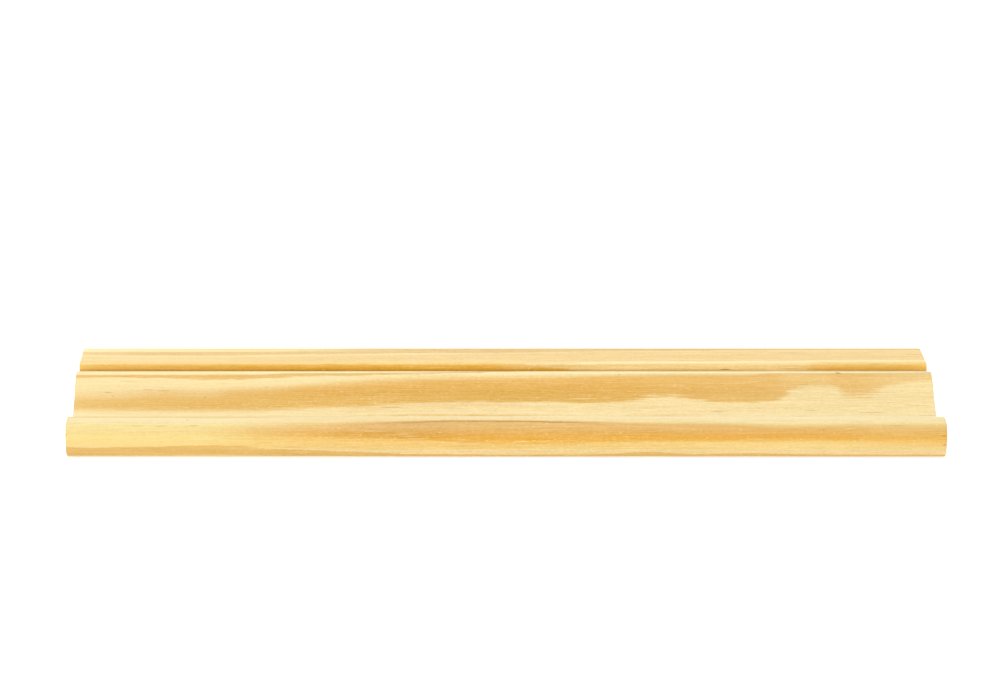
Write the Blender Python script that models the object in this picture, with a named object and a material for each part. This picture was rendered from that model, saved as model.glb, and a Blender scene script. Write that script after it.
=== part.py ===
# Ogee casing moulding: one length of milled pine, cut square at both ends.
#
# Metres, +Z up. The length runs along X, centred on 0. The back lies on Z = 0 and the moulded face looks up.
# Y runs from the bead (thin edge, -Y) to the flat outer band (thick edge, +Y), centred on 0.
# The cross-section is worked out in millimetres, with y from the bead edge and z from the back.

import math

import bmesh
import bpy
from mathutils import Vector

MM = 0.001

# Stock that the moulding is milled from, and the length of the piece
LENGTH = 304.8
WIDTH = 57.15
THICKNESS = 17.46

# Bead along the thin edge
BEAD_RADIUS = 6.25
BEAD_HEIGHT = 12.65
HEEL_RADIUS = 2.8

# Ogee: a hollow and a round of equal radius, from the valley behind the bead up to the narrow flat
VALLEY_HEIGHT = 5.8
OGEE_RUN = 21.3
CREST_SLOPE = math.radians(25.2)
FLAT_WIDTH = 2.1

# Quirk: the groove between the narrow flat and the outer band
QUIRK_DEPTH = 5.2
QUIRK_FLOOR_RADIUS = 1.6
QUIRK_WIDTH = 6.9
NEAR_WALL_LEAN = math.radians(6.0)
FAR_WALL_LEAN = math.radians(20.7)

# Outer band
BAND_INNER_RADIUS = 1.0
BAND_OUTER_RADIUS = 0.8

# Back: a shallow relief between two rails, so that the moulding seats on an uneven wall
RELIEF_DEPTH = 1.2
RELIEF_BEAD_RAIL = 9.5
RELIEF_BAND_RAIL = 8.0
RELIEF_SHOULDER = 1.6

# Facets: no arc departs from its true curve by more than this
CHORD_ERROR = 0.012

WOOD_COLOUR = (0.93, 0.72, 0.42, 1.0)
WOOD_ROUGHNESS = 0.55
WOOD_METALLIC = 0.0


def clear_objects():
    for item in list(bpy.data.objects):
        bpy.data.objects.remove(item, do_unlink=True)


def arc(centre, radius, start, end):
    """Points on an arc about centre, from angle start to angle end, both ends included."""
    step = 2.0 * math.acos(1.0 - CHORD_ERROR / radius)
    count = max(2, math.ceil(abs(end - start) / step))
    points = []
    for i in range(count + 1):
        angle = start + (end - start) * i / count
        points.append(Vector((centre[0] + radius * math.cos(angle), centre[1] + radius * math.sin(angle))))
    return points


def bead_outline():
    """Heel and bead, from the back over the top and down to the valley."""
    heel = arc((HEEL_RADIUS, HEEL_RADIUS), HEEL_RADIUS, math.radians(270), math.radians(180))
    centre = (BEAD_RADIUS, BEAD_HEIGHT - BEAD_RADIUS)
    bead = arc(centre, BEAD_RADIUS, math.pi, 0.0)
    return heel + bead


def ogee_outline():
    """Hollow and round of one radius: level at the valley, at CREST_SLOPE where the narrow flat starts."""
    start = Vector((2.0 * BEAD_RADIUS, VALLEY_HEIGHT))
    rise = THICKNESS - VALLEY_HEIGHT
    chord = math.hypot(OGEE_RUN, rise)
    reach = OGEE_RUN * (1.0 + math.cos(CREST_SLOPE)) + rise * math.sin(CREST_SLOPE)
    steepest = math.atan2(rise, OGEE_RUN) + math.acos(reach / (2.0 * chord))
    radius = OGEE_RUN / (2.0 * math.sin(steepest) - math.sin(CREST_SLOPE))

    down = math.radians(270)
    up = math.radians(90)
    hollow = arc(start + Vector((0.0, radius)), radius, down, down + steepest)
    turn = hollow[-1]
    round_centre = turn + radius * Vector((math.sin(steepest), -math.cos(steepest)))
    crest = arc(round_centre, radius, up + steepest, up + CREST_SLOPE)
    return hollow + crest[1:]


def quirk_outline(flat_end):
    """Groove from the far edge of the narrow flat, round its floor, and up the leaning wall to the outer band."""
    floor = THICKNESS - QUIRK_DEPTH
    lip = flat_end + QUIRK_WIDTH

    # Floor arc, tangent to the near wall, the floor and the far wall where the walls leave room for a level
    # stretch between the two arcs
    near_y = flat_end + (QUIRK_DEPTH - QUIRK_FLOOR_RADIUS) * math.tan(NEAR_WALL_LEAN)
    near_y += QUIRK_FLOOR_RADIUS / math.cos(NEAR_WALL_LEAN)
    far_y = lip - (QUIRK_DEPTH - QUIRK_FLOOR_RADIUS) * math.tan(FAR_WALL_LEAN)
    far_y -= QUIRK_FLOOR_RADIUS / math.cos(FAR_WALL_LEAN)
    floor_z = floor + QUIRK_FLOOR_RADIUS
    down = math.radians(270)
    near_arc = arc((near_y, floor_z), QUIRK_FLOOR_RADIUS, math.pi + NEAR_WALL_LEAN, down)
    far_arc = arc((far_y, floor_z), QUIRK_FLOOR_RADIUS, down, math.radians(360) - FAR_WALL_LEAN)

    # Rounded inner corner of the band, tangent to the leaning wall and to the band's face
    corner_y = lip - BAND_INNER_RADIUS * math.tan(FAR_WALL_LEAN) + BAND_INNER_RADIUS / math.cos(FAR_WALL_LEAN)
    corner_z = THICKNESS - BAND_INNER_RADIUS
    corner = arc((corner_y, corner_z), BAND_INNER_RADIUS, math.pi - FAR_WALL_LEAN, math.radians(90))
    return [Vector((flat_end, THICKNESS))] + near_arc + far_arc + corner


def band_outline():
    """Outer arris of the band and the square outer edge."""
    centre = (WIDTH - BAND_OUTER_RADIUS, THICKNESS - BAND_OUTER_RADIUS)
    return arc(centre, BAND_OUTER_RADIUS, math.radians(90), 0.0) + [Vector((WIDTH, 0.0))]


def back_outline():
    """Relief between the two rails, from the outer edge back to the bead."""
    outer = WIDTH - RELIEF_BAND_RAIL
    inner = RELIEF_BEAD_RAIL
    return [
        Vector((outer, 0.0)),
        Vector((outer - RELIEF_SHOULDER, RELIEF_DEPTH)),
        Vector((inner + RELIEF_SHOULDER, RELIEF_DEPTH)),
        Vector((inner, 0.0)),
    ]


def section():
    """The whole cross-section, each point once."""
    ogee = ogee_outline()
    flat_end = ogee[-1].x + FLAT_WIDTH
    outline = bead_outline() + ogee + quirk_outline(flat_end) + band_outline() + back_outline()
    points = []
    for point in outline:
        if not points or (point - points[-1]).length > 0.001:
            points.append(point)
    return points


def wood():
    material = bpy.data.materials.new("bare_pine")
    material.use_nodes = True
    shader = material.node_tree.nodes["Principled BSDF"]
    shader.inputs["Base Color"].default_value = WOOD_COLOUR
    shader.inputs["Roughness"].default_value = WOOD_ROUGHNESS
    shader.inputs["Metallic"].default_value = WOOD_METALLIC
    material.diffuse_color = WOOD_COLOUR
    return material


def ogee_casing():
    """Extrude the cross-section along X between the two square-cut ends."""
    mesh = bmesh.new()
    half = 0.5 * LENGTH * MM
    verts = []
    for point in section():
        place = Vector((-half, (point.x - 0.5 * WIDTH) * MM, point.y * MM))
        verts.append(mesh.verts.new(place))
    end = mesh.faces.new(verts)
    extruded = bmesh.ops.extrude_face_region(mesh, geom=[end], use_keep_orig=True)
    moved = [item for item in extruded["geom"] if isinstance(item, bmesh.types.BMVert)]
    bmesh.ops.translate(mesh, verts=moved, vec=Vector((2.0 * half, 0.0, 0.0)))
    bmesh.ops.recalc_face_normals(mesh, faces=mesh.faces)

    data = bpy.data.meshes.new("ogee_casing")
    mesh.to_mesh(data)
    mesh.free()
    data.materials.append(wood())
    data.shade_smooth()
    data.set_sharp_from_angle(angle=math.radians(20))
    casing = bpy.data.objects.new("ogee_casing", data)
    bpy.context.scene.collection.objects.link(casing)
    return casing


clear_objects()
ogee_casing()
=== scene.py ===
import math
from functools import partial
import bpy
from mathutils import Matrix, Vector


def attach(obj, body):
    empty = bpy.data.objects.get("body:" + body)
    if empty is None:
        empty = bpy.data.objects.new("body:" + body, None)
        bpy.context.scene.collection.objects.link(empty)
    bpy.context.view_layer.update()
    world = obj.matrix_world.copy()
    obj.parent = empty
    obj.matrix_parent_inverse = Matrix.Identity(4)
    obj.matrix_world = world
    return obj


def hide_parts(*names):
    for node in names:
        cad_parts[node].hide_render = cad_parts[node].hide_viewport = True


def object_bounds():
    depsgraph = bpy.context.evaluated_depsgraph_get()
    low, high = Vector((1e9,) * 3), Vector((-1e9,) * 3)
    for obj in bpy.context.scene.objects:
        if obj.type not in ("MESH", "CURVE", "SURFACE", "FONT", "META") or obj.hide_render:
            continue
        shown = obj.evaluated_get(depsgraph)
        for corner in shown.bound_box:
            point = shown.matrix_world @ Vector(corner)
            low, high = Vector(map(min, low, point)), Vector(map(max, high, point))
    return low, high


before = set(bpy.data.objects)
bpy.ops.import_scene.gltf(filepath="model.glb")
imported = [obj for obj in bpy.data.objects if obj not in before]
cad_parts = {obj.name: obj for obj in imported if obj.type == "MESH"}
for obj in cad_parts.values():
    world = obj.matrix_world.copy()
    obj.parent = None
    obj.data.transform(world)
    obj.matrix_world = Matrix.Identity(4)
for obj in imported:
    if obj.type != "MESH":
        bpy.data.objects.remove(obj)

from types import SimpleNamespace

import bpy
from mathutils import Vector

cadLow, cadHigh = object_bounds()
mm = 0.001


# Tools shared by every tree

smooth = {"interpolation_type": "SMOOTHSTEP"}
noiseMiddle = {"From Min": 0.3, "From Max": 0.7}    # most of a noise lies between these
noiseSpan = {"From Min": 0.25, "From Max": 0.75}    # and nearly all of it between these
fading = {"To Min": 1.0, "To Max": 0.0}
dashEdge = {"From Min": 0.15, "From Max": 0.3}      # in cells from a dash's middle
markEdge = {"From Min": 0.4, "From Max": 1.3}       # in half lengths or half widths from a mark's middle


def hexToLinear(code):
    channels = [int(code[i:i + 2], 16) / 255 for i in (1, 3, 5)]
    linear = [c / 12.92 if c <= 0.04045 else ((c + 0.055) / 1.055) ** 2.4 for c in channels]
    return (*linear, 1.0)


def addNode(tree, kind, settings=None, inputs=None):
    # A shader node's kind goes without its prefix. Settings may be just the name of an operation, and inputs
    # a tuple of the first ones in their order. An input is a plain value, a socket, or a node whose first
    # output is meant.
    whole = kind.startswith(("GeometryNode", "NodeGroup"))
    node = tree.nodes.new(kind if whole else "ShaderNode" + kind)
    if isinstance(settings, str):
        settings = {"operation": settings}
    for name, value in (settings or {}).items():
        setattr(node, name, value)
    if isinstance(inputs, tuple):
        inputs = dict(enumerate(inputs))
    for key, value in (inputs or {}).items():
        if isinstance(value, bpy.types.Node):
            value = value.outputs[0]
        if isinstance(value, bpy.types.NodeSocket):
            tree.links.new(value, node.inputs[key])
        else:
            node.inputs[key].default_value = value
    return node


def addSockets(tree, side, kind, *names):
    for name in names:
        tree.interface.new_socket(name, in_out=side, socket_type="NodeSocket" + kind)


# Camera: the photograph's angle, about 25 degrees above the table. The camera stands a little to the left of
# the moulding's middle and the picture is cropped off centre, which the small shift gives.

cameraSetup = {
    "besideCentre": -29.3,    # mm along the moulding from its middle
    "beforeBead": 782.5,      # mm in front of the bead's edge
    "aboveTable": 378.2,      # mm
    "lookDown": 23.18,        # degrees
    "focalPixels": 2505.0,    # focal length in the photograph's pixels
    "axisPixel": 421.6,       # the photograph's column on the lens axis
    "pictureWidth": 1000.0,   # pixels
    "sensorWidth": 36.0,      # mm
}


def makeCamera(setup):
    camera = bpy.data.objects.new("camera", bpy.data.cameras.new("camera"))
    bpy.context.scene.collection.objects.link(camera)
    width = setup["pictureWidth"]
    camera.data.sensor_width = setup["sensorWidth"]
    camera.data.lens = setup["sensorWidth"] * setup["focalPixels"] / width
    camera.data.shift_x = (width / 2 - setup["axisPixel"]) / width
    camera.location = (setup["besideCentre"] * mm, cadLow.y - setup["beforeBead"] * mm,
                       setup["aboveTable"] * mm)
    camera.rotation_euler = (math.radians(90 - setup["lookDown"]), 0, 0)
    camera.data.clip_start = 0.01
    bpy.context.scene.camera = camera


makeCamera(cameraSetup)
print("camera placed")


# Floor and light: a white table in a soft, even light tent

studio = {
    "floorColour": "#F6F5F2",
    "floorRoughness": 0.8,
    "floorSize": 8000.0,      # mm
    "tableGlow": 0.42,        # the table is lit a little from below
    "skyStrength": 0.86,
    "keyPower": 6.3,          # W, broad panel overhead, slightly in front
    "keySize": 900.0,         # mm
    "keyPlace": (-250.0, -350.0, 1150.0),   # mm
}


def makeStudio(setup):
    half = setup["floorSize"] / 2 * mm
    mesh = bpy.data.meshes.new("floor")
    corners = [(-half, -half, 0), (half, -half, 0), (half, half, 0), (-half, half, 0)]
    mesh.from_pydata(corners, [], [(0, 1, 2, 3)])
    floor = bpy.data.objects.new("floor", mesh)
    bpy.context.scene.collection.objects.link(floor)
    material = bpy.data.materials.new("white table paint")
    material.use_nodes = True
    shader = material.node_tree.nodes["Principled BSDF"]
    shader.inputs["Base Color"].default_value = hexToLinear(setup["floorColour"])
    shader.inputs["Roughness"].default_value = setup["floorRoughness"]
    shader.inputs["Emission Color"].default_value = (1, 1, 1, 1)
    shader.inputs["Emission Strength"].default_value = setup["tableGlow"]
    mesh.materials.append(material)

    world = bpy.data.worlds.new("light tent")
    world.use_nodes = True
    sky = world.node_tree.nodes["Background"]
    sky.inputs["Color"].default_value = (1, 1, 1, 1)
    sky.inputs["Strength"].default_value = setup["skyStrength"]
    bpy.context.scene.world = world

    panel = bpy.data.lights.new("key panel", "AREA")
    panel.size = setup["keySize"] * mm
    panel.energy = setup["keyPower"]
    key = bpy.data.objects.new("key panel", panel)
    key.location = [v * mm for v in setup["keyPlace"]]
    key.rotation_euler = (-Vector(key.location)).to_track_quat("-Z", "Y").to_euler()
    bpy.context.scene.collection.objects.link(key)
    bpy.context.scene.view_settings.view_transform = "Standard"


makeStudio(studio)
print("studio lit")


# Section: the milled profile in millimetres, y from the bead edge and z from the back

profile = {
    "beadRadius": 6.25,
    "beadHeight": 12.65,
    "heelRadius": 2.8,
    "valleyHeight": 5.8,
    "ogeeRun": 21.3,
    "crestSlope": 25.2,       # degrees, where the ogee meets the narrow flat
    "flatWidth": 2.1,
    "quirkDepth": 5.2,
    "quirkFloorRadius": 1.6,
    "quirkWidth": 6.9,
    "nearWallLean": 6.0,      # degrees
    "farWallLean": 20.7,      # degrees
    "bandInnerRadius": 1.0,
    "bandOuterRadius": 0.8,
    "reliefDepth": 1.2,
    "reliefBeadRail": 9.5,
    "reliefBandRail": 8.0,
    "reliefShoulder": 1.6,
    "arrisEase": 0.22,        # the sharp corners are broken this much by handling
    "sharpestBend": 15.0,     # degrees; a corner that turns by more is eased
    "longestStep": 0.9,       # between neighbouring points
    "chordError": 0.004,      # between an arc and its chords
    "leastGap": 0.002,        # points closer than this are one
}


def arcPoints(centre, radius, start, end, chordError):
    count = max(3, math.ceil(abs(end - start) / (2 * math.acos(1 - chordError / radius))))
    angles = [start + (end - start) * i / count for i in range(count + 1)]
    return [Vector((centre[0] + radius * math.cos(a), centre[1] + radius * math.sin(a))) for a in angles]


def easedCorners(points, ease, sharpest):
    # a corner that turns by more than the angle sharpest becomes a short curve
    eased = []
    count = len(points)
    for i, point in enumerate(points):
        before, after = points[i - 1], points[(i + 1) % count]
        inward, outward = (point - before), (after - point)
        if abs(inward.angle_signed(outward)) < sharpest:
            eased.append(point)
            continue
        start = point - inward.normalized() * min(ease, inward.length / 3)
        end = point + outward.normalized() * min(ease, outward.length / 3)
        for t in (0, 0.25, 0.5, 0.75, 1):
            eased.append(start * (1 - t) ** 2 + point * 2 * t * (1 - t) + end * t ** 2)
    return eased


def steppedRuns(points, longest):
    # long straight runs get points of their own, so that the surface can ripple there
    stepped = []
    for i, point in enumerate(points):
        after = points[(i + 1) % len(points)]
        pieces = max(1, math.ceil((after - point).length / longest))
        stepped += [point.lerp(after, k / pieces) for k in range(pieces)]
    return stepped


def sectionPoints(sizes, width, thickness):
    def arc(centre, radius, start, end):
        return arcPoints(centre, radius, math.radians(start), math.radians(end), sizes["chordError"])

    heel = sizes["heelRadius"]
    bead = sizes["beadRadius"]
    points = arc((heel, heel), heel, 270, 180)
    points += arc((bead, sizes["beadHeight"] - bead), bead, 180, 0)

    # ogee: a hollow and a round of one radius, level in the valley and at the crest slope where they end
    run, rise = sizes["ogeeRun"], thickness - sizes["valleyHeight"]
    crest = math.radians(sizes["crestSlope"])
    reach = run * (1 + math.cos(crest)) + rise * math.sin(crest)
    steepest = math.atan2(rise, run) + math.acos(reach / (2 * math.hypot(run, rise)))
    radius = run / (2 * math.sin(steepest) - math.sin(crest))
    steepDegrees = math.degrees(steepest)
    points += arc((2 * bead, sizes["valleyHeight"] + radius), radius, 270, 270 + steepDegrees)
    turn = points[-1]
    centre = (turn.x + radius * math.sin(steepest), turn.y - radius * math.cos(steepest))
    points += arc(centre, radius, 90 + steepDegrees, 90 + sizes["crestSlope"])[1:]

    # narrow flat, then the quirk groove with its leaning far wall
    flatEnd = points[-1].x + sizes["flatWidth"]
    points.append(Vector((flatEnd, thickness)))
    floor = sizes["quirkFloorRadius"]
    drop = sizes["quirkDepth"] - floor
    lip = flatEnd + sizes["quirkWidth"]
    near, far = math.radians(sizes["nearWallLean"]), math.radians(sizes["farWallLean"])
    nearY = flatEnd + drop * math.tan(near) + floor / math.cos(near)
    farY = lip - drop * math.tan(far) - floor / math.cos(far)
    points += arc((nearY, thickness - drop), floor, 180 + sizes["nearWallLean"], 270)
    points += arc((farY, thickness - drop), floor, 270, 360 - sizes["farWallLean"])

    # outer band, with both of its edges rounded
    inner, outer = sizes["bandInnerRadius"], sizes["bandOuterRadius"]
    innerY = lip - inner * math.tan(far) + inner / math.cos(far)
    points += arc((innerY, thickness - inner), inner, 180 - sizes["farWallLean"], 90)
    points += arc((width - outer, thickness - outer), outer, 90, 0)
    points.append(Vector((width, 0)))

    # shallow relief in the back
    shoulder, depth = sizes["reliefShoulder"], sizes["reliefDepth"]
    outerRail, beadRail = width - sizes["reliefBandRail"], sizes["reliefBeadRail"]
    points += [Vector(p) for p in ((outerRail, 0), (outerRail - shoulder, depth),
                                   (beadRail + shoulder, depth), (beadRail, 0))]
    return points


def sectionLoop(sizes):
    # the closed section as a mesh of edges in its own XY plane, with the outward direction at each point
    width, thickness = (cadHigh.y - cadLow.y) / mm, (cadHigh.z - cadLow.z) / mm
    raw = sectionPoints(sizes, width, thickness)
    points = [p for i, p in enumerate(raw) if (p - raw[i - 1]).length > sizes["leastGap"]]
    points = easedCorners(points, sizes["arrisEase"], math.radians(sizes["sharpestBend"]))
    points = steppedRuns(points, sizes["longestStep"])
    count = len(points)
    middle = width / 2
    # the sweep turns its section half round, so the section is drawn turned, and its edges run the other way
    mesh = bpy.data.meshes.new("section")
    mesh.from_pydata([((middle - p.x) * mm, -p.y * mm, 0) for p in points],
                     [((i + 1) % count, i) for i in range(count)], [])
    outward = mesh.attributes.new("outward", "FLOAT_VECTOR", "POINT")
    for i in range(count):
        along = (points[(i + 1) % count] - points[i - 1]).normalized()
        outward.data[i].vector = (0, -along.y, along.x)
    return mesh


# Milling: the section is swept along the length, with worn ends and a slight ripple in the faces

milling = {
    "Stations": 236,          # cross-sections along the length
    "Ease Steps": 3,          # of them, those that round each end
    "End Ease": 0.30,         # mm, rounding of the arris at the sawn ends
    "End Wear": 0.8,          # share by which that rounding varies
    "Wear Length": 3.125,     # mm from one worn place to the next
    "Ripple Depth": 0.035,    # mm, raised grain and knife ripple
    "Ripple Length": 26.0,    # mm along the grain
    "Ripple Width": 2.4,      # mm across the grain
}


def millingTree(values):
    tree = bpy.data.node_groups.new("millMoulding", "GeometryNodeTree")
    add = partial(addNode, tree)
    addSockets(tree, "INPUT", "Geometry", "Section")
    for name, value in values.items():
        addSockets(tree, "INPUT", "Int" if isinstance(value, int) else "Float", name)
    addSockets(tree, "INPUT", "Material", "Wood")
    addSockets(tree, "OUTPUT", "Geometry", "Moulding")
    given = add("NodeGroupInput").outputs

    # stations: close together where the ends are rounded, even in between
    index = add("GeometryNodeInputIndex")
    last = add("Math", "SUBTRACT", (given["Stations"], 1.0))
    fromLast = add("Math", "SUBTRACT", (last, index))
    fromEnd = add("Math", "MINIMUM", (index, fromLast))
    turned = add("Math", "DIVIDE", (fromEnd, given["Ease Steps"]))
    turned = add("Math", "MINIMUM", (turned, 1.0))
    angle = add("Math", "MULTIPLY", (turned, math.pi / 2))
    ease = add("Math", "MULTIPLY", (given["End Ease"], mm))
    even = add("Math", "MULTIPLY_ADD", (ease, -2.0, given["Length"]))
    evenCount = add("Math", "MULTIPLY_ADD", (given["Ease Steps"], -2.0, last))
    spacing = add("Math", "DIVIDE", (even, evenCount))
    evenSteps = add("Math", "SUBTRACT", (fromEnd, given["Ease Steps"]))
    evenSteps = add("Math", "MAXIMUM", (evenSteps, 0.0))
    cosine = add("Math", "COSINE", (angle,))
    cosine = add("Math", "SUBTRACT", (1.0, cosine))
    rounded = add("Math", "MULTIPLY", (ease, cosine))
    inside = add("Math", "MULTIPLY_ADD", (evenSteps, spacing, rounded))
    fromMiddle = add("Math", "MULTIPLY_ADD", (last, -0.5, index))
    side = add("Math", "SIGN", (fromMiddle,))
    outwards = add("Math", "MULTIPLY", (given["Length"], 0.5))
    outwards = add("Math", "SUBTRACT", (outwards, inside))
    along = add("Math", "MULTIPLY", (side, outwards))
    sine = add("Math", "SINE", (angle,))
    sine = add("Math", "SUBTRACT", (1.0, sine))
    setBack = add("Math", "MULTIPLY", (ease, sine))

    line = add("GeometryNodeMeshLine", inputs={"Count": given["Stations"]})
    place = add("CombineXYZ", inputs={"X": along})
    placed = add("GeometryNodeSetPosition", inputs={"Geometry": line, "Position": place})
    marked = add("GeometryNodeStoreNamedAttribute", {"data_type": "FLOAT"},
                 {"Geometry": placed, "Name": "setBack", "Value": setBack})
    path = add("GeometryNodeMeshToCurve", inputs=(marked,))
    section = add("GeometryNodeMeshToCurve", inputs=(given["Section"],))
    swept = add("GeometryNodeCurveToMesh", inputs={
        "Curve": path, "Profile Curve": section, "Fill Caps": True})

    # wear of the end arrises and ripple of the faces, both inwards only
    position = add("GeometryNodeInputPosition")
    wearScale = add("Math", "DIVIDE", (1 / mm, given["Wear Length"]))
    wearNoise = add("TexNoise", inputs={"Vector": position, "Scale": wearScale, "Detail": 3.0})
    leastWear = add("Math", "SUBTRACT", (1.0, given["End Wear"]))
    mostWear = add("Math", "ADD", (1.0, given["End Wear"]))
    wear = add("MapRange", inputs={
        "Value": wearNoise, **noiseMiddle, "To Min": leastWear, "To Max": mostWear})
    setBackHere = add("GeometryNodeInputNamedAttribute", {"data_type": "FLOAT"}, {"Name": "setBack"})
    wornBack = add("Math", "MULTIPLY", (setBackHere, wear))
    alongGrain = add("Math", "DIVIDE", (1 / mm, given["Ripple Length"]))
    acrossGrain = add("Math", "DIVIDE", (1 / mm, given["Ripple Width"]))
    grainScale = add("CombineXYZ", inputs={"X": alongGrain, "Y": acrossGrain, "Z": acrossGrain})
    grainPlace = add("VectorMath", "MULTIPLY", (position, grainScale))
    grainNoise = add("TexNoise", inputs={"Vector": grainPlace, "Scale": 1.0, "Detail": 2.0})
    depth = add("Math", "MULTIPLY", (given["Ripple Depth"], mm))
    cutBack = add("Math", "MULTIPLY_ADD", (depth, grainNoise, wornBack))
    cutBack = add("Math", "MULTIPLY", (cutBack, -1.0))
    outward = add("GeometryNodeInputNamedAttribute", {"data_type": "FLOAT_VECTOR"}, {"Name": "outward"})
    inward = add("VectorMath", "SCALE", {0: outward, "Scale": cutBack})
    worn = add("GeometryNodeSetPosition", inputs={"Geometry": swept, "Offset": inward})

    for name in ("setBack", "outward"):
        worn = add("GeometryNodeRemoveAttribute", inputs={"Geometry": worn, "Name": name})
    finished = add("GeometryNodeSetMaterial", inputs={"Geometry": worn, "Material": given["Wood"]})
    real = add("GeometryNodeRealizeInstances", inputs={"Geometry": finished})
    add("NodeGroupOutput", inputs={"Moulding": real})
    return tree


def millCasing(name, wood, sharpAngle):
    values = {"Length": cadHigh.x - cadLow.x, **milling}
    blank = bpy.data.objects.new("sectionBlank", sectionLoop(profile))
    bpy.context.scene.collection.objects.link(blank)
    modifier = blank.modifiers.new("mill", "NODES")
    modifier.node_group = millingTree(values)
    sockets = {item.name: item.identifier for item in modifier.node_group.interface.items_tree
               if item.in_out == "INPUT"}
    for key, value in values.items():
        modifier[sockets[key]] = value
    modifier[sockets["Wood"]] = wood

    shown = blank.evaluated_get(bpy.context.evaluated_depsgraph_get())
    mesh = bpy.data.meshes.new_from_object(shown)
    mesh.name = name
    bpy.data.objects.remove(blank, do_unlink=True)
    mesh.shade_smooth()
    mesh.set_sharp_from_angle(angle=math.radians(sharpAngle))
    casing = bpy.data.objects.new(name, mesh)
    bpy.context.scene.collection.objects.link(casing)
    print(name, "milled,", len(mesh.vertices), "points")
    return casing


# Pine: bare, flat-sawn, fast-grown softwood, planed and lightly sanded. The eye sees broad cream earlywood,
# tan latewood that starts softly and stops sharply, fine fibres along the length and a few brown resin
# dashes. The sawn ends are darker and show the rings themselves, with rays across them and the saw's lines.

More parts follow.
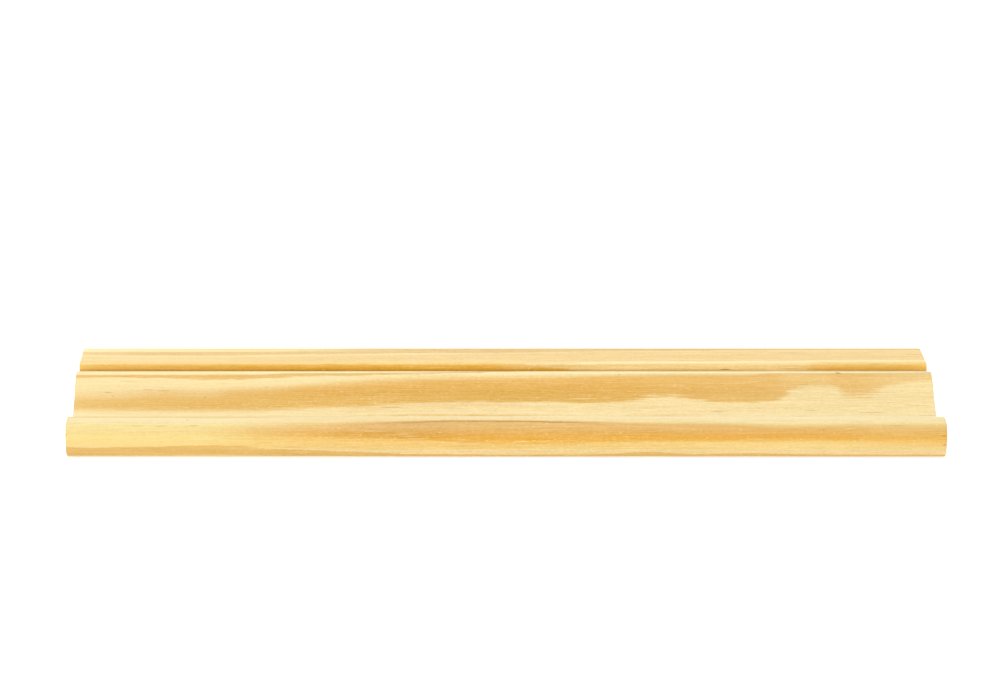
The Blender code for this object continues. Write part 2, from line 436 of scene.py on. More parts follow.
pine = {
    # colours drift across the board, by mm along the rings from the bead side to the outer band
    "earlywood": [(1, "#CFB379"), (1.7, "#DCC086"), (2.8, "#DDC284"), (4.2, "#E2C57F"), (6, "#E2C87F"),
                  (8.5, "#DFC783"), (10.6, "#E2CC8B"), (12.5, "#E5D3A0"), (14.2, "#ECDBA9"), (17, "#E9D6A2"),
                  # the earlywood's stop at 35.6 paints a highlight on the narrow flat
                  (18.9, "#E9D6A2"), (20.8, "#E8D29A"), (33.6, "#E8D29A"), (35.6, "#F0DFAA"),
                  # the stops at 37.7, here and among the latewood, paint shadow at the foot of the groove's
                  # far wall
                  (37.7, "#C09C5E"), (38.8, "#F6D892"), (41, "#EDD094"), (42.5, "#E8C98B"), (57, "#EACD90")],
    "latewood": [(1, "#C29C53"), (1.7, "#CCA55A"), (3.2, "#CFA656"), (4.6, "#DCAF58"), (5.9, "#D7A038"),
                 (7.6, "#D3A04B"), (9.3, "#D2A65C"), (12.5, "#D8AF69"), (17, "#D6AC5C"), (24, "#D7AC54"),
                 (29, "#D7A64B"), (33, "#DAAB56"), (37.7, "#B07F26"), (38.8, "#E6B036"), (40.2, "#F0BC46"),
                 (42, "#DDBA7B"), (57, "#DDBA7B")],
    "endEarlywood": "#D9B87E",
    "endLatewood": "#B1803E",
    "resin": "#8E5F22",
    "fleck": "#F4E2AC",
    "ringAngle": 141.0,       # degrees from +Y to the way the rings grow, seen in the section
    "bendStart": 26.0,        # mm along the rings, from where they curve
    "bendRadius": 70.0,       # mm, deep in the board
    "bendDepths": {"From Min": -8.0, "From Max": 14.5},    # mm from the back, from the full bend to none
    "waver": 0.085,           # mm, how far fibres push a ring's edge about
    "wander": 5.0,            # mm, how far the rings swing in the hidden back
    "wanderScale": (0.008, 0.03, 0.03),   # swings in a mm, along the board and across it
    "wanderDepths": {"From Min": -5.0, "From Max": 6.0},   # mm from the back, from the full swing to none
    "wanderEdges": {"From Min": 5.0, "From Max": 16.0},    # mm from the bead edge, from none to the full one
    # rings that the camera doesn't see: start and end in mm of growth, then onset, edge and strength
    "hiddenRings": [(-4.6, -3.0, 0.9, 0.1, 0.8), (-9.4, -8.0, 0.9, 0.1, 0.8), (-19.0, -17.8, 0.8, 0.1, 0.8),
                    (-35.4, -34.2, 0.9, 0.1, 0.7), (-39.9, -38.5, 0.9, 0.1, 0.8),
                    (-44.8, -43.5, 0.9, 0.1, 0.8)],
    "pastWood": 9.0,          # mm of growth beyond all the wood, so a ring up to it shows no end
    "noseHeight": 9.0,        # mm from the back, the height that the bead's ring leans about
    # by mm from the back, how the soft tail under it weakens, how the heel's ring does, and how the resin
    # line on top of the bead comes in
    "tailFade": {"From Min": 7.4, "From Max": 9.6, "To Min": 1.0, "To Max": 0.4},
    "heelFade": {"From Min": 9.0, "From Max": 12.0, "To Min": 0.93, "To Max": 0.5},
    "beadTop": {"From Min": 11.4, "From Max": 12.1},
    "wallWaver": 1.2,         # mm, how far fibres push about the edge of the wall's dark latewood and painted shade
    "wallFoot": 37.8,         # mm along the rings to the foot of the groove's far wall
    "paleReach": {"From Min": 0.2, "From Max": 0.7},  # mm from the middle of the lip's painted highlight and of the foot's lightening of the painted shadow
    # by the fibres' lightness, how rich their colour is
    "richness": {"From Min": 0.8, "From Max": 1.2, "To Min": 1.12, "To Max": 0.88},
    # layers of fibres: mm long, mm wide, detail and contrast. The finer ones are drawn coarser than real
    # fibres and cut cells, which are too small to show.
    "fibres": [(38.0, 0.42, 3.0, 0.062), (7.0, 0.30, 1.0, 0.045), (1.3, 0.34, 1.0, 0.048),
               (50.0, 3.5, 1.0, 0.012)],
    "grainRoughness": 0.65,   # of the noise that draws them
    "drift": 0.22,            # mm, how far fibres stray sideways
    "driftLength": 34.0,      # mm
    "driftWidth": 20.0,       # mm
    "dashSpacing": 0.62,      # mm between resin dashes across the grain
    "dashStretch": 24.0,      # how much longer than wide they are
    "dashShare": 0.055,       # share of the places that hold one
    "dashStrength": 0.22,
    "fleckSpacing": 0.42,     # pale flecks, in the same terms
    "fleckStretch": 5.5,
    "fleckShare": 0.04,
    "fleckCrowding": 0.38,    # added to that share where latewood stops
    "fleckStrength": 0.6,
    "markWidth": 0.28,        # mm
    "markFlatness": 0.15,     # share that depth counts in a single mark
    "endRaySpacing": 0.35,    # mm, also drawn coarser than real rays
    "endRayLength": 3.5,      # mm
    "rayContrast": 0.05,
    "sawSpacing": 0.55,       # mm between the saw's lines
    "sawLineLength": 20.0,    # mm
    "sawAngle": 78.0,         # degrees from +Y
    "sawContrast": 0.05,
    "endCells": 3.0,          # cut cells in a mm, far fewer than real ones
    "cellContrast": 0.08,
    "endDepths": (0.26, 0.1), # mm from the end, from planed wood to sawn wood
    "roughness": (0.56, 0.48, 0.7),   # earlywood, latewood, sawn ends
    "specular": 0.35,
    "fibreRelief": 0.02,      # mm
    "knifePitch": 1.9,        # mm between the planer's knife marks, which only the back keeps
    # by mm from the back, their height as a share of the fibres'
    "knifeHeight": {"From Min": 1.25, "From Max": 1.45, "To Min": 0.4, "To Max": 0.0},
}

# Rings where they meet the moulded face: pairs of mm from the middle of the length, and mm in the direction
# of growth (along the rings for the wall and the lip), slope, softness in mm, or strength
ringCurves = {
    "heelEnd": [(-152, 2.75), (-122, 2.85), (-104, 3.2), (-83, 2.6), (-66, 2.05), (-45, 1.5), (-28, 0.9),
                (2, 0.65), (22, 0.7), (36, 1.0), (50, 1.6), (66, 0.9), (84, 1.3), (104, 0.75), (152, 0.6)],
    "noseStart": [(-152, 6.6), (-105, 5.9), (-85, 5.15), (-63, 4.7), (-50, 4.6), (-43, 4.55), (-30, 4.35),
                  (-14, 3.85), (2, 3.7), (16, 3.85), (34, 4.1), (50, 4.35), (67, 4.4), (84, 4.5),
                  (101, 4.65), (118, 4.5), (152, 4.2)],
    "noseTilt": [(-152, -0.04), (-85, -0.06), (-63, -0.03), (-50, 0.03), (-40, 0.06), (-28, 0.06),
                 (-14, -0.02), (2, -0.08), (34, -0.1), (76, -0.15), (95, -0.2), (118, -0.2), (132, -0.25),
                 (152, -0.3)],
    "noseSoft": [(-152, 2.0), (-100, 2.0), (-83, 2.0), (-60, 1.7), (-43, 0.7), (-25, 0.25), (5, 0.2),
                 (34, 0.7), (76, 1.1), (152, 1.3)],
    "noseStrength": [(-152, 1.0), (112, 1.0), (134, 0.8), (152, 0.8)],
    "noseTail": [(-152, 0.0), (-110, 0.0), (-83, 0.4), (-60, 0.5), (-44, 0.6), (0, 0.6), (14, 0.55),
                 (45, 0.4), (62, 0.3), (84, 0.15), (152, 0.2)],
    "noseLine": [(-50, 0.0), (-38, 0.25), (-29, 0.45), (-10, 0.5), (8, 0.55), (18, 0.5), (30, 0.25),
                 (42, 0.0)],
    "ogeeStart": [(-152, -13.25), (-140, -13.25), (-121, -13.35), (-104, -13.35), (-96, -13.45),
                  (-84, -13.5), (-72, -13.65), (-58, -13.9), (-44, -14.2), (-9, -14.55), (18, -14.7),
                  (45, -14.95), (70, -15.1), (86, -15.1), (96, -15.45), (119, -15.6), (130, -15.65),
                  (152, -16.3)],
    "ogeeSoft": [(-152, 0.5), (-83, 0.55), (-58, 1.1), (-44, 1.3), (30, 1.25), (75, 1.2), (100, 0.7),
                 (152, 0.8)],
    "ogeeEnd": [(-152, -12.05), (-104, -11.9), (-80, -12.15), (-58, -12.4), (-51, -12.5), (-43, -12.7),
                (-30, -12.9), (-16, -13.0), (0, -13.0), (16, -13.0), (30, -12.9), (40, -12.95), (48, -13.1),
                (55, -13.25), (67, -13.15), (77, -12.95), (86, -12.9), (92, -12.95), (98, -13.2),
                (106, -13.6), (113, -13.7), (119, -13.5), (125, -13.3), (131, -13.4), (139, -13.85),
                (152, -14.1)],
    "ogeeEdge": [(-152, 1.2), (-104, 1.3), (-80, 1.1), (-46, 0.7), (-20, 0.2), (30, 0.2), (50, 0.3),
                 (66, 0.2), (90, 0.15), (106, 0.3), (122, 0.5), (134, 0.4), (152, 0.7)],
    "ogeeStrength": [(-152, 0.8), (-121, 0.95), (-72, 1.0), (34, 1.0), (50, 0.95), (67, 0.9), (84, 0.85),
                     (96, 0.8), (106, 0.65), (113, 0.65), (119, 0.75), (127, 0.7), (135, 0.6), (152, 0.5)],
    "ogeeTail": [(-76, 0.0), (-62, 0.02), (-50, 0.2), (-16, 0.2), (4, 0.1), (20, 0.0)],
    "noseAmber": [(-62, 0.0), (-52, 0.09), (-32, 0.12), (-16, 0.05), (4, 0.0)],
    "valleyLine": [(-60, 0.0), (-42, 0.5), (-20, 0.85), (0, 0.65), (18, 0.45), (34, 0.05), (60, 0.3),
                   (80, 0.0)],
    "flatStart": [(-152, -15.0), (-104, -15.0), (-87, -15.1), (-73, -15.45), (-58, -15.5), (-44, -15.75),
                  (-30, -16.05), (-15, -16.45), (-1, -17.0), (13, -17.2)],
    "flatEnd": [(-152, -14.5), (-122, -14.5), (-104, -14.3), (-87, -14.45), (-73, -14.7), (-58, -14.8),
                (-44, -15.05), (-30, -15.2), (-15, -15.55), (-1, -16.2), (13, -16.8)],
    "flatStrength": [(-152, 0.8), (-105, 0.85), (-87, 0.8), (-58, 0.7), (-44, 0.7), (-30, 0.5), (-15, 0.55),
                     (-1, 0.4), (13, 0.0)],
    # the groove's far wall: its latewood ring, drawn darker deeper in the groove as painted shade, with its
    # top and softness
    "wallStrength": [(-152, 0.8), (-104, 0.9), (-80, 1.0), (16, 1.0), (27, 0.8), (38, 0.25), (50, 0.1),
                     (94, 0.1), (107, 0.25), (119, 0.9), (152, 0.9)],
    "wallTop": [(-152, 40.8), (-105, 41.1), (-8, 41.1), (0, 40.5), (9, 40.0), (17, 39.6), (23, 39.25),
                (30, 38.7), (100, 39.0), (110, 40.3), (120, 40.85), (152, 40.9)],
    "wallSoft": [(-152, 2.2), (0, 2.1), (17, 0.6), (30, 0.5), (100, 1.2), (112, 2.0), (152, 2.2)],
    # a painted highlight on the groove's rounded lip, and where it lies
    "lipLight": [(-152, 0.0), (10, 0.0), (36, 0.75), (152, 0.95)],
    "lipPlace": [(-152, 41.0), (70, 41.0), (88, 41.25), (105, 41.45), (120, 41.8), (152, 41.9)],
    # lightens the painted shadow at the foot of the groove's far wall, towards the right end
    "footLight": [(76, 0.0), (90, 0.1), (104, 0.35), (132, 0.32), (148, 0.2)],
    "bandStart": [(-152, -29.9), (-105, -30.2), (-73, -31.2), (-44, -33.6), (152, -34.0)],
    "bandEnd": [(-152, -28.2), (-104, -27.8), (-83, -28.4), (-41, -29.3), (0, -29.8), (24, -30.9),
                (65, -31.5), (152, -31.8)],
    "bandStrength": [(-152, 0.2), (-138, 0.5), (-122, 0.9), (-104, 0.7), (-84, 0.7), (-73, 0.9), (-44, 1.0),
                     (67, 1.0), (100, 0.85), (152, 0.5)],
    "bandLight": [(-152, 0.45), (-41, 0.5), (-20, 0.15), (30, 0.1), (66, 0.2), (152, 0.2)],
    "innerBandLight": [(-152, 0.3), (-122, 0.2), (-87, 0.1), (-58, 0.0), (152, 0.0)],
    "farLight": [(-152, 1.0), (-138, 0.8), (-122, 0.7), (-105, 0.6), (-87, 0.5), (-60, 0.3), (-44, 0.1),
                 (-20, 0.0), (152, 0.0)],
    "ogeeFlecks": [(-152, 0.15), (-115, 0.5), (-80, 1.0), (-48, 0.9), (-30, 0.3), (40, 0.3), (60, 0.5),
                   (76, 0.6), (90, 0.4), (112, 0.7), (130, 0.5), (152, 0.1)],
    "noseFlecks": [(-152, 0.1), (-70, 0.3), (-48, 0.9), (-26, 1.0), (-14, 0.6), (14, 0.9), (30, 0.6),
                   (60, 0.6), (90, 0.3), (152, 0.2)],
    "earlyContrast": [(-152, 0.7), (-85, 0.8), (-45, 1.25), (20, 1.35), (60, 1.1), (152, 1.05)],
    "lateContrast": [(-152, 0.95), (-90, 1.05), (-50, 1.25), (20, 1.25), (55, 1.05), (90, 0.9), (152, 0.9)],
    "dashLight": [(-152, 0.8), (60, 0.8), (96, 1.2), (152, 1.5)],
}

# Single marks: mm along, from the bead edge and from the back, then half their length and their strength
resinMarks = [(-126.2, 28.4, 13.6, 2.2, 0.45), (-120.9, 28.1, 13.4, 2.8, 0.5),
              (-140.6, 27.6, 12.8, 1.4, 0.55), (-138.8, 26.6, 11.8, 0.3, 0.7),
              (-110.5, 5.0, 12.45, 0.35, 0.8), (-119.2, 2.6, 11.4, 2.2, 0.5), (-108.3, 2.6, 11.4, 2.0, 0.45),
              (-127.5, 2.7, 11.5, 3.2, 0.3), (-84.4, 29.0, 14.2, 1.2, 0.35), (-106.2, 26.4, 11.6, 0.4, 0.6),
              (-40.5, 23.1, 9.0, 3.8, 0.45), (-19.2, 23.0, 8.9, 4.2, 0.45), (-24.0, 0.7, 9.2, 0.35, 0.8),
              (41.0, 33.3, 17.2, 0.3, 0.9), (75.2, 21.7, 8.1, 2.8, 0.45), (108.1, 22.1, 8.3, 2.6, 0.4),
              (129.0, 21.1, 7.8, 6.0, 0.4), (146.2, 23.6, 9.3, 5.5, 0.35), (119.3, 34.1, 17.43, 1.3, 0.95),
              (119.0, 34.7, 17.46, 1.1, 0.95), (109.6, 1.55, 10.5, 0.35, 0.8), (80.0, 42.0, 15.4, 2.0, 0.95),
              (151.2, 0.4, 8.6, 0.9, 0.95), (151.5, 0.0, 5.3, 0.6, 0.95), (-152.2, 0.6, 9.0, 0.4, 0.7),
              (-152.2, 0.0, 4.8, 0.3, 0.7), (-34.2, 0.2, 7.95, 4.3, 0.3), (-32.5, 0.05, 7.0, 6.0, 0.2),
              (-12.6, 0.0, 6.6, 9.0, 0.2), (62.0, 27.2, 12.4, 6.0, 0.16), (70.0, 28.6, 13.8, 5.0, 0.14),
              (20.0, 29.4, 14.6, 7.0, 0.14), (-5.0, 30.2, 15.2, 8.0, 0.12), (52.0, 1.5, 10.4, 8.0, 0.13),
              (88.0, 1.9, 10.8, 6.0, 0.14)]

# Pale streaks along the edges of the latewood, given the same way
paleMarks = [(28.2, 26.0, 11.2, 5.6, 0.5), (36.2, 26.3, 11.4, 2.0, 0.5), (50.4, 26.7, 11.9, 3.0, 0.45),
             (-35.5, 0.7, 9.05, 3.0, 0.45), (-33.6, 0.35, 8.4, 3.7, 0.5), (-30.7, 0.15, 7.6, 4.0, 0.4),
             (-45.9, 1.15, 10.0, 4.0, 0.3), (-42.3, 0.3, 8.15, 2.7, 0.35), (-15.2, 0.05, 7.1, 3.0, 0.4),
             (5.4, 0.0, 6.7, 2.8, 0.55), (12.6, 0.0, 6.6, 2.4, 0.5), (86.7, 0.15, 7.6, 4.0, 0.4),
             (118.7, 1.95, 10.8, 2.0, 0.45), (60.5, 29.6, 14.8, 4.5, 0.3), (88.0, 30.6, 15.5, 3.0, 0.35)]


def alongLength(add, x, pairs, by=0.0):
    # a value that follows the moulding's length, from pairs of mm along it and value
    places, values = [p[0] for p in pairs], [p[1] for p in pairs]
    lowest, highest = min(values), max(values)
    share = add("MapRange", inputs={"Value": x, "From Min": places[0], "From Max": places[-1]})
    curve = add("FloatCurve", inputs={"Value": share})
    points = curve.mapping.curves[0].points
    for i, (place, value) in enumerate(pairs):
        at = ((place - places[0]) / (places[-1] - places[0]), (value - lowest) / (highest - lowest))
        if i in (0, len(pairs) - 1):
            points[0 if i == 0 else -1].location = at
        else:
            points.new(*at)
    curve.mapping.update()
    return add("MapRange", inputs={"Value": curve, "To Min": lowest + by, "To Max": highest + by})


def acrossBoard(add, place, stops):
    # a colour that drifts across the board, from pairs of mm and colour
    first, last = stops[0][0], stops[-1][0]
    share = add("MapRange", inputs={"Value": place, "From Min": first, "From Max": last})
    drift = add("ValToRGB", inputs={"Fac": share})
    elements = drift.color_ramp.elements
    for at, code in stops[1:-1]:
        elements.new((at - first) / (last - first))
    for element, (at, code) in zip(elements, stops):
        element.color = hexToLinear(code)
    return drift


def ringTree():
    # one growth ring: latewood sets in softly at Start and stops at End. The stronger of it and of what came
    # before goes on.
    tree = bpy.data.node_groups.new("growth ring", "ShaderNodeTree")
    add = partial(addNode, tree)
    addSockets(tree, "INPUT", "Float", "Before", "Growth", "Start", "End", "Onset", "Edge", "Strength")
    addSockets(tree, "OUTPUT", "Float", "Latewood")
    given = add("NodeGroupInput").outputs
    soft = add("Math", "MULTIPLY", (given["Onset"], 0.5))
    hard = add("Math", "MULTIPLY", (given["Edge"], 0.5))
    rise = add("MapRange", smooth, {
        "Value": given["Growth"],
        "From Min": add("Math", "SUBTRACT", (given["Start"], soft)),
        "From Max": add("Math", "ADD", (given["Start"], soft))})
    fall = add("MapRange", smooth, {
        "Value": given["Growth"], **fading,
        "From Min": add("Math", "SUBTRACT", (given["End"], hard)),
        "From Max": add("Math", "ADD", (given["End"], hard))})
    both = add("Math", "MULTIPLY", (rise, fall))
    drawn = add("Math", "MULTIPLY", (both, given["Strength"]))
    larger = add("Math", "MAXIMUM", (given["Before"], drawn))
    add("NodeGroupOutput", inputs={"Latewood": larger})
    return tree


def dashTree():
    # short marks scattered along the fibres, one at most in each cell of a stretched Voronoi pattern
    tree = bpy.data.node_groups.new("dashes along the grain", "ShaderNodeTree")
    add = partial(addNode, tree)
    addSockets(tree, "INPUT", "Vector", "Place")
    addSockets(tree, "INPUT", "Float", "Spacing", "Stretch", "Share")
    addSockets(tree, "OUTPUT", "Float", "Dash")
    given = add("NodeGroupInput").outputs
    narrow = add("Math", "DIVIDE", (1.0, given["Spacing"]))
    long = add("Math", "DIVIDE", (narrow, given["Stretch"]))
    scale = add("CombineXYZ", inputs={"X": long, "Y": narrow, "Z": narrow})
    cells = add("VectorMath", "MULTIPLY", (given["Place"], scale))
    spots = add("TexVoronoi", inputs={"Vector": cells, "Scale": 1.0})
    near = add("MapRange", smooth, {"Value": spots.outputs["Distance"], **dashEdge, **fading})
    chance = add("SeparateXYZ", inputs=(spots.outputs["Color"],))
    chosen = add("Math", "LESS_THAN", (chance, given["Share"]))
    dash = add("Math", "MULTIPLY", (near, chosen))
    add("NodeGroupOutput", inputs={"Dash": dash})
    return tree


def markTree():
    # one mark at a given centre, drawn out along the grain
    tree = bpy.data.node_groups.new("single mark", "ShaderNodeTree")
    add = partial(addNode, tree)
    addSockets(tree, "INPUT", "Vector", "Place", "Centre")
    addSockets(tree, "INPUT", "Float", "Before", "Half Length", "Half Width", "Strength")
    addSockets(tree, "OUTPUT", "Float", "Mark")
    given = add("NodeGroupInput").outputs
    size = add("CombineXYZ", inputs={
        "X": given["Half Length"], "Y": given["Half Width"], "Z": given["Half Width"]})
    away = add("VectorMath", "SUBTRACT", (given["Place"], given["Centre"]))
    away = add("VectorMath", "DIVIDE", (away, size))
    distance = add("VectorMath", "LENGTH", (away,)).outputs["Value"]
    near = add("MapRange", smooth, {
        "Value": distance, **markEdge, "To Min": given["Strength"], "To Max": 0.0})
    larger = add("Math", "MAXIMUM", (given["Before"], near))
    add("NodeGroupOutput", inputs={"Mark": larger})
    return tree


growthRing = ringTree()
scatteredDashes = dashTree()
singleMark = markTree()


def drawRings(add, before, rings):
    # each ring is its growth, start, end, onset, edge and strength
    for growth, start, end, onset, edge, strength in rings:
        before = add("Group", {"node_tree": growthRing}, {
            "Before": before, "Growth": growth, "Start": start, "End": end, "Onset": onset, "Edge": edge,
            "Strength": strength})
    return before


def drawMarks(add, values, board, before, marks):
    # a mark's centre is turned as the rings are, into the sheet of wood that it lies in
    angle = math.radians(values["ringAngle"])
    for markX, markY, markZ, halfLength, strength in marks:
        centre = (markX, markY * math.sin(angle) - markZ * math.cos(angle),
                  (markY * math.cos(angle) + markZ * math.sin(angle)) * values["markFlatness"])
        before = add("Group", {"node_tree": singleMark}, {
            "Place": board.inSheet, "Centre": centre, "Before": before, "Half Length": halfLength,
            "Half Width": values["markWidth"] / 2, "Strength": strength})
    return before


def boardPlaces(add, values):
    # millimetres from the middle of the length, the bead edge and the back
    coordinates = add("TexCoord")
    place = add("Mapping", inputs={
        "Vector": coordinates.outputs["Object"], "Scale": (1 / mm,) * 3, "Location": (0, -cadLow.y / mm, 0)})
    axes = add("SeparateXYZ", inputs=(place,)).outputs
    board = SimpleNamespace(place=place, x=axes["X"], y=axes["Y"], z=axes["Z"])

    # fibres stray a little to the side on their way
    driftScale = (1 / values["driftLength"], 1 / values["driftWidth"], 1 / values["driftWidth"])
    stray = add("VectorMath", "MULTIPLY", (place, driftScale))
    stray = add("TexNoise", inputs={"Vector": stray, "Scale": 1.0, "Detail": 1.0})
    sideways = add("MapRange", inputs={
        "Value": stray, **noiseSpan, "To Min": -values["drift"], "To Max": values["drift"]})
    stray = add("CombineXYZ", inputs={"Y": sideways})
    board.fibrePlace = add("VectorMath", "ADD", (place, stray))
    board.fibres = []
    for length, width, detail, contrast in values["fibres"]:
        grain = add("VectorMath", "MULTIPLY", (board.fibrePlace, (1 / length, 1 / width, 1 / width)))
        board.fibres.append(add("TexNoise", inputs={
            "Vector": grain, "Scale": 1.0, "Detail": detail, "Roughness": values["grainRoughness"]}))

    # mm in the direction of growth and along the rings. In the sheet of one ring the depth counts for less.
    angle = math.radians(values["ringAngle"])
    board.across = add("VectorMath", "DOT_PRODUCT",
                       (place, (0, math.cos(angle), math.sin(angle)))).outputs["Value"]
    board.withRings = add("VectorMath", "DOT_PRODUCT",
                          (place, (0, math.sin(angle), -math.cos(angle)))).outputs["Value"]
    board.inSheet = add("CombineXYZ", inputs={
        "X": board.x,
        "Y": add("Math", "ADD", (board.withRings, sideways)),
        "Z": add("Math", "MULTIPLY", (board.across, values["markFlatness"]))})
    return board


def ringGrowth(add, values, board):
    # the rings are near flat under the moulded face and curve away from it, and fibres push their edges about
    beyond = add("Math", "SUBTRACT", (board.withRings, values["bendStart"]))
    beyond = add("Math", "MAXIMUM", (beyond, 0.0))
    squared = add("Math", "MULTIPLY", (beyond, beyond))
    bend = add("MapRange", smooth, {
        "Value": board.z, **values["bendDepths"], "To Min": 0.5 / values["bendRadius"], "To Max": 0.0})
    growth = add("Math", "MULTIPLY_ADD", (squared, bend, board.across))
    for fibres in board.fibres[:2]:
        waver = add("MapRange", inputs={
            "Value": fibres, **noiseSpan, "To Min": -values["waver"], "To Max": values["waver"]})
        growth = add("Math", "ADD", (growth, waver))

    # in the hidden back the rings swing more freely
    swing = add("VectorMath", "MULTIPLY", (board.place, values["wanderScale"]))
    swing = add("TexNoise", inputs={"Vector": swing, "Scale": 1.0, "Detail": 1.0})
    swing = add("MapRange", inputs={
        "Value": swing, **noiseSpan, "To Min": -values["wander"], "To Max": values["wander"]})
    low = add("MapRange", smooth, {"Value": board.z, **values["wanderDepths"], **fading})
    inner = add("MapRange", smooth, {"Value": board.y, **values["wanderEdges"]})
    freely = add("Math", "MULTIPLY", (low, inner))
    return add("Math", "MULTIPLY_ADD", (swing, freely, growth))


def latewoodRings(add, values, board, along):
    # the bead's ring leans a little, and under it a soft latewood tone is drawn, strongest low on the bead
    # and weaker higher up
    above = add("Math", "SUBTRACT", (board.z, values["noseHeight"]))
    board.noseGrowth = add("Math", "MULTIPLY_ADD", (above, along("noseTilt"), board.growth))
    board.underNose = add("MapRange", smooth, {"Value": board.z, **values["tailFade"]})
    tailStrength = add("Math", "MULTIPLY", (board.underNose, along("noseTail")))
    heelStrength = add("MapRange", inputs={"Value": board.z, **values["heelFade"]})

    # the groove's wall lies along a ring, and its latewood is drawn darker the deeper it lies in the groove:
    # partly the real ring, partly painted shade in the groove
    wallTop, wallSoft = along("wallTop"), along("wallSoft")
    wallPlace = add("Math", "MULTIPLY_ADD", (board.fibres[1], values["wallWaver"], board.withRings))
    wallShadeDepth = add("MapRange", smooth, {
        "Value": wallPlace, **fading,
        "From Min": add("Math", "SUBTRACT", (wallTop, wallSoft)),
        "From Max": add("Math", "ADD", (wallTop, wallSoft))})
    wallStrength = add("Math", "MULTIPLY", (wallShadeDepth, along("wallStrength")))

    # from the bark side inwards, and then those that the camera doesn't see
    growth, pastWood = board.growth, values["pastWood"]
    hidden = [(growth, *ring) for ring in values["hiddenRings"]]
    return drawRings(add, 0.0, [
        (board.noseGrowth, along("noseStart"), pastWood, along("noseSoft"), 0.1, along("noseStrength")),
        (growth, 2.5, pastWood, 1.5, 0.1, tailStrength),
        (growth, along("heelEnd", -2.6), along("heelEnd"), 0.8, 0.12, heelStrength),
        (growth, -11.22, -10.95, 0.12, 0.12, along("valleyLine")),
        (growth, along("ogeeStart"), along("ogeeEnd"), along("ogeeSoft"), along("ogeeEdge"),
         along("ogeeStrength")),
        (growth, along("ogeeEnd", -0.2), along("ogeeEnd", 0.8), 0.1, 1.2, along("ogeeTail")),
        (growth, along("flatStart"), along("flatEnd"), 0.2, 0.15, along("flatStrength")),
        (growth, -24.6, -21.4, 0.6, 0.3, wallStrength),
        (growth, along("bandStart"), along("bandEnd"), 0.9, 0.4, along("bandStrength")),
    ] + hidden)


def paleWoodAndHighlights(add, values, board, along, latewood, marks):
    # a painted highlight on the groove's rounded lip, a lightening of the painted shadow at the foot of its
    # wall, and the first growth after the band's ring
    pale = 0.0
    for middle, strength in ((along("lipPlace"), along("lipLight")),
                             (values["wallFoot"], along("footLight"))):
        apart = add("Math", "SUBTRACT", (board.withRings, middle))
        apart = add("Math", "ABSOLUTE", (apart,))
        near = add("MapRange", smooth, {
            "Value": apart, **values["paleReach"], "To Min": strength, "To Max": 0.0})
        pale = add("Math", "MAXIMUM", (pale, near))
    pale = drawRings(add, pale, [
        (board.growth, along("bandEnd", 0.2), along("bandEnd", 1.3), 0.4, 0.6, along("bandLight")),
        (board.growth, -28.4, -23.9, 0.4, 0.6, along("innerBandLight")),
        (board.growth, -40.0, -30.4, 0.4, 0.6, along("farLight")),
    ])

    # flecks, most of them along the edges where latewood stops, and streaks
    lowNose = add("Math", "MULTIPLY", (board.underNose, along("noseFlecks")))
    flecked = drawRings(add, 0.0, [
        (board.growth, along("ogeeEnd", -0.75), along("ogeeEnd", 0.06), 0.3, 0.2, along("ogeeFlecks")),
        (board.noseGrowth, along("noseStart", -0.15), along("noseStart", 0.9), 0.3, 0.2, lowNose),
    ])
    share = add("Math", "MULTIPLY_ADD", (flecked, values["fleckCrowding"], values["fleckShare"]))
    flecks = add("Group", {"node_tree": scatteredDashes}, {
        "Place": board.fibrePlace, "Spacing": values["fleckSpacing"], "Stretch": values["fleckStretch"],
        "Share": share})
    flecks = add("Math", "MULTIPLY", (flecks, latewood))
    flecks = add("Math", "MULTIPLY", (flecks, values["fleckStrength"]))
    pale = add("Math", "MAXIMUM", (pale, flecks))
    return drawMarks(add, values, board, pale, marks)


def brownResin(add, values, board, along, marks):
    # scattered dashes, the thin line on top of the bead with the amber wood beside it, and single marks
    resin = add("Group", {"node_tree": scatteredDashes}, {
        "Place": board.fibrePlace, "Spacing": values["dashSpacing"], "Stretch": values["dashStretch"],
        "Share": values["dashShare"]})
    strength = add("Math", "MULTIPLY", (along("dashLight"), values["dashStrength"]))
    resin = add("Math", "MULTIPLY", (resin, strength))
    onTop = add("MapRange", inputs={"Value": board.z, **values["beadTop"]})
    onTop = add("Math", "MULTIPLY", (onTop, along("noseLine")))
    resin = drawRings(add, resin, [
        (board.noseGrowth, along("noseStart", 0.26), along("noseStart", 0.6), 0.12, 0.15, onTop),
        (board.noseGrowth, along("noseStart", 0.2), values["pastWood"], 0.6, 0.1, along("noseAmber")),
    ])
    return drawMarks(add, values, board, resin, marks)


def fibreShade(add, values, board, along, latewood, wood):
    # fibres and cut cells are a little lighter and darker, and the darker the richer
    shade = 0.0
    for fibres, (length, width, detail, contrast) in zip(board.fibres, values["fibres"]):
        part = add("MapRange", inputs={
            "Value": fibres, **noiseMiddle, "To Min": -contrast, "To Max": contrast})
        shade = add("Math", "ADD", (shade, part))
    livelier = add("MapRange", inputs={
        "Value": latewood, "To Min": along("earlyContrast"), "To Max": along("lateContrast")})
    lightness = add("Math", "MULTIPLY_ADD", (shade, livelier, 1.0))
    richness = add("MapRange", inputs={"Value": lightness, **values["richness"]})
    return add("HueSaturation", inputs={"Color": wood, "Value": lightness, "Saturation": richness})


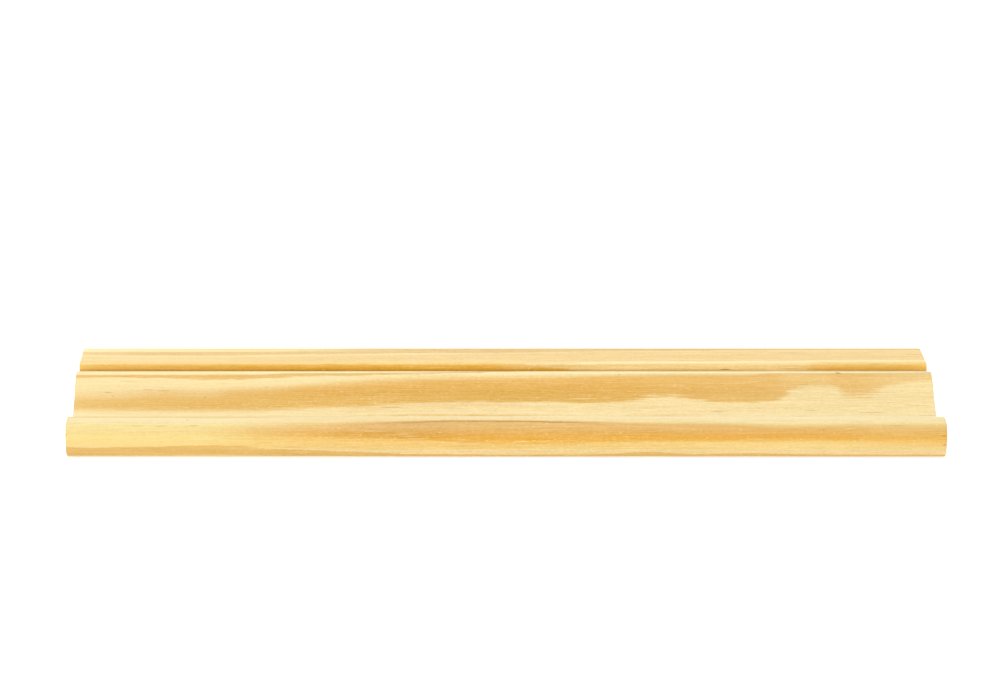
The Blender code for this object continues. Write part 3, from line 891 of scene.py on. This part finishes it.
def sawnEnds(add, values, board, latewood):
    # how far a place belongs to a sawn end, and the colour and the saw's lines there
    planed, sawn = values["endDepths"]
    ends = add("Math", "ABSOLUTE", (board.x,))
    ends = add("MapRange", smooth, {
        "Value": ends, "From Min": cadHigh.x / mm - planed, "From Max": cadHigh.x / mm - sawn})
    endWood = add("Mix", {"data_type": "RGBA"}, {
        "Factor": latewood, 6: hexToLinear(values["endEarlywood"]), 7: hexToLinear(values["endLatewood"])})

    # rays run across the rings, the saw leaves lines, and cut cells show as dots
    rays = add("VectorMath", "MULTIPLY", (
        add("CombineXYZ", inputs={"X": board.growth, "Y": board.withRings}),
        (1 / values["endRayLength"], 1 / values["endRaySpacing"], 0)))
    angle = math.radians(values["sawAngle"])
    length, spacing = values["sawLineLength"], values["sawSpacing"]
    sawAlong = add("VectorMath", "DOT_PRODUCT", (
        board.place, (0, math.cos(angle) / length, math.sin(angle) / length))).outputs["Value"]
    sawAcross = add("VectorMath", "DOT_PRODUCT", (
        board.place, (0, math.sin(angle) / spacing, -math.cos(angle) / spacing))).outputs["Value"]
    sawPlace = add("CombineXYZ", inputs={"X": sawAlong, "Y": sawAcross})
    sawLines = add("TexNoise", inputs={"Vector": sawPlace, "Scale": 1.0, "Detail": 1.0})
    shade = 1.0
    for pattern, scale, contrast in ((rays, 1.0, values["rayContrast"]),
                                     (sawPlace, 1.0, values["sawContrast"]),
                                     (board.place, values["endCells"], values["cellContrast"])):
        spread = add("TexNoise", inputs={"Vector": pattern, "Scale": scale, "Detail": 1.0})
        part = add("MapRange", inputs={
            "Value": spread, **noiseMiddle, "To Min": -contrast, "To Max": contrast})
        shade = add("Math", "ADD", (shade, part))
    endWood = add("HueSaturation", inputs={"Color": endWood.outputs[2], "Value": shade})
    return ends, endWood, sawLines


def planedSurface(add, values, board, ends, sawLines):
    # fibres stand up a little, the back keeps the planer's knife marks and the ends keep the saw's
    turns = 2 * math.pi / values["knifePitch"]
    knives = add("Math", "MULTIPLY", (board.x, turns))
    knives = add("Math", "SINE", (knives,))
    back = add("MapRange", inputs={"Value": board.z, **values["knifeHeight"]})
    height = add("Math", "MULTIPLY_ADD", (knives, back, board.fibres[0]))
    height = add("Mix", {"data_type": "FLOAT"}, {"Factor": ends, 2: height, 3: sawLines})
    return add("Bump", inputs={
        "Height": height.outputs[0], "Strength": 1.0, "Distance": values["fibreRelief"] * mm})


def barePine(values, curves, darkMarks, lightMarks):
    material = bpy.data.materials.new("bare planed pine")
    material.use_nodes = True
    tree = material.node_tree
    shader = tree.nodes["Principled BSDF"]
    add = partial(addNode, tree)
    board = boardPlaces(add, values)

    def along(name, by=0.0):
        return alongLength(add, board.x, curves[name], by)

    board.growth = ringGrowth(add, values, board)
    latewood = latewoodRings(add, values, board, along)
    pale = paleWoodAndHighlights(add, values, board, along, latewood, lightMarks)
    resin = brownResin(add, values, board, along, darkMarks)
    wood = acrossBoard(add, board.withRings, values["earlywood"])
    # the pale share holds pale wood, flecks and streaks, and also the painted highlight on the groove's lip
    for share, colour in ((latewood, acrossBoard(add, board.withRings, values["latewood"])),
                          (pale, hexToLinear(values["fleck"])), (resin, hexToLinear(values["resin"]))):
        wood = add("Mix", {"data_type": "RGBA"}, {"Factor": share, 6: wood, 7: colour}).outputs[2]
    wood = fibreShade(add, values, board, along, latewood, wood)

    ends, endWood, sawLines = sawnEnds(add, values, board, latewood)
    colour = add("Mix", {"data_type": "RGBA"}, {"Factor": ends, 6: wood, 7: endWood}).outputs[2]
    tree.links.new(colour, shader.inputs["Base Color"])

    # latewood is planed smoother than earlywood, and the sawn ends are roughest
    early, late, end = values["roughness"]
    gloss = add("MapRange", inputs={"Value": latewood, "To Min": early, "To Max": late})
    gloss = add("Mix", {"data_type": "FLOAT"}, {"Factor": ends, 2: gloss, 3: end})
    tree.links.new(gloss.outputs[0], shader.inputs["Roughness"])
    shader.inputs["Specular IOR Level"].default_value = values["specular"]
    relief = planedSurface(add, values, board, ends, sawLines)
    tree.links.new(relief.outputs["Normal"], shader.inputs["Normal"])
    return material


wood = barePine(pine, ringCurves, resinMarks, paleMarks)
print("pine mixed")
casing = millCasing("pineCasing", wood, sharpAngle=32)
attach(casing, "root")
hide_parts("ogee_casing")
